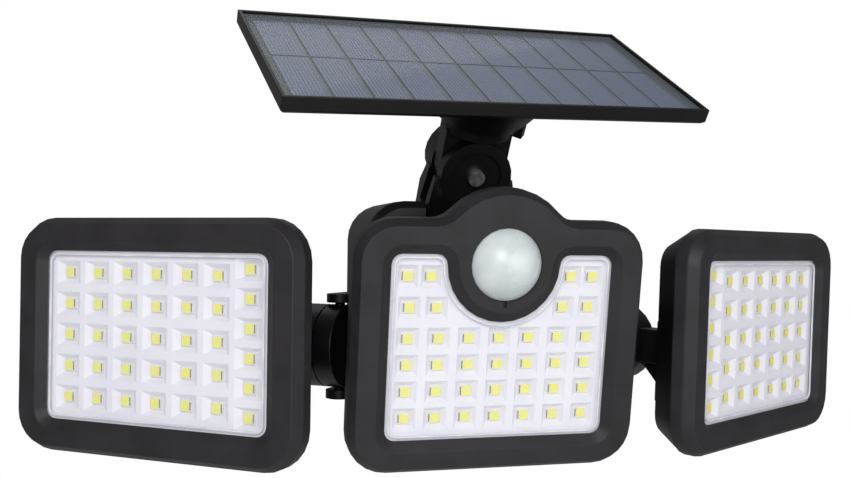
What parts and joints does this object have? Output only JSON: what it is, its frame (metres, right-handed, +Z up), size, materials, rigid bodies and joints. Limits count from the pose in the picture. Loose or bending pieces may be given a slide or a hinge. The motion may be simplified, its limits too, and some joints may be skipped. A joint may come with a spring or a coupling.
{
  "type": "motion sensor security light",
  "caption": "Wall-held solar security light: swivelling light heads side by side, a motion sensor dome in the middle head and a tilted solar panel on a jointed arm.",
  "frame": {"origin": "middle of the wall plate's back face, where it lies on the wall", "axes": "+Z up, +Y into the wall, the light faces -Y, +X to the right seen from in front"},
  "size_m": [0.3659, 0.1024, 0.1929],
  "materials": {
    "housing_plastic": "fine-textured black plastic",
    "bezel_plastic": "charcoal plastic, fine texture",
    "clear_lens": "clear moulded plate",
    "white_reflector": "white moulding",
    "circuit_board": "white solder mask",
    "led_phosphor": "yellow phosphor",
    "milky_dome": "milky sensor lens",
    "sensor_metal": "plated can",
    "steel": "zinc-plated",
    "black_button": "matt",
    "cell_sleeve": "shrink sleeve",
    "solar_backing": "dark laminate",
    "solar_cell": "dark teal silicon",
    "panel_cover": "clear gloss"
  },
  "bodies": {
    "housing": {"rear_housing": "housing_plastic", "left_yoke": "housing_plastic", "right_yoke": "housing_plastic", "wall_plate": "housing_plastic", "battery_cell": "cell_sleeve", "battery_cradle": "housing_plastic", "control_board": "circuit_board", "mode_switch": "housing_plastic", "centre_hinge_pin": "steel", "arm_hinge_bolt": "steel"},
    "button": {"mode_button": "black_button"},
    "centre_head": {"centre_bezel": "bezel_plastic", "centre_lens": "clear_lens", "centre_reflector": "white_reflector", "centre_led_board": "circuit_board", "centre_leds": "led_phosphor", "centre_back_shell": "housing_plastic", "centre_mount": "housing_plastic", "sensor_dome": "milky_dome", "sensor_can": "sensor_metal"},
    "left_swing": {"left_knuckle": "housing_plastic", "left_tilt_nut": "steel"},
    "left_head": {"left_bezel": "bezel_plastic", "left_lens": "clear_lens", "left_reflector": "white_reflector", "left_led_board": "circuit_board", "left_leds": "led_phosphor", "left_back_shell": "housing_plastic", "left_mount": "housing_plastic"},
    "right_swing": {"right_knuckle": "housing_plastic", "right_tilt_nut": "steel"},
    "right_head": {"right_bezel": "bezel_plastic", "right_lens": "clear_lens", "right_reflector": "white_reflector", "right_led_board": "circuit_board", "right_leds": "led_phosphor", "right_back_shell": "housing_plastic", "right_mount": "housing_plastic"},
    "arm": {"neck": "housing_plastic", "drum_screw": "steel"},
    "foot": {"swivel_foot": "housing_plastic", "swivel_retainer": "steel"},
    "panel": {"panel_tray": "housing_plastic", "panel_substrate": "solar_backing", "panel_cells": "solar_cell", "panel_glass": "panel_cover"}
  },
  "joints": [
    {"name": "mode_press", "type": "slide", "parent": "housing", "child": "button", "axis": [0, 0, 1], "range_m": [0, 0.0012], "stiffness_N_per_m": 400, "springref_m": -0.001},
    {"name": "centre_pitch", "type": "hinge", "parent": "housing", "child": "centre_head", "pos_m": [0, -0.057, -0.007], "axis": [1, 0, 0], "range_deg": [-12, 6]},
    {"name": "left_swing", "type": "hinge", "parent": "housing", "child": "left_swing", "pos_m": [-0.0575, -0.055, -0.0105], "axis": [0, 0, 1], "range_deg": [-18, 12]},
    {"name": "left_tilt", "type": "hinge", "parent": "left_swing", "child": "left_head", "pos_m": [-0.0575, -0.055, -0.0105], "axis": [0.8059, -0.592, 0], "range_deg": [-20, 20]},
    {"name": "right_swing", "type": "hinge", "parent": "housing", "child": "right_swing", "pos_m": [0.0575, -0.055, -0.0105], "axis": [0, 0, 1], "range_deg": [-10, 12.5]},
    {"name": "right_tilt", "type": "hinge", "parent": "right_swing", "child": "right_head", "pos_m": [0.0575, -0.055, -0.0105], "axis": [0.8686, 0.4955, 0], "range_deg": [-20, 20]},
    {"name": "arm_pitch", "type": "hinge", "parent": "housing", "child": "arm", "pos_m": [0, -0.032, 0.04], "axis": [1, 0, 0], "range_deg": [-8, 12]},
    {"name": "drum_roll", "type": "hinge", "parent": "arm", "child": "foot", "pos_m": [0, -0.0386, 0.0653], "axis": [0, 0.891, 0.454], "range_deg": [-17, 13]},
    {"name": "panel_swivel", "type": "hinge", "parent": "foot", "child": "panel", "pos_m": [0, -0.0386, 0.0653], "axis": [0.0382, -0.5443, 0.838], "range_deg": [-27.7, 12.3]}
  ]
}
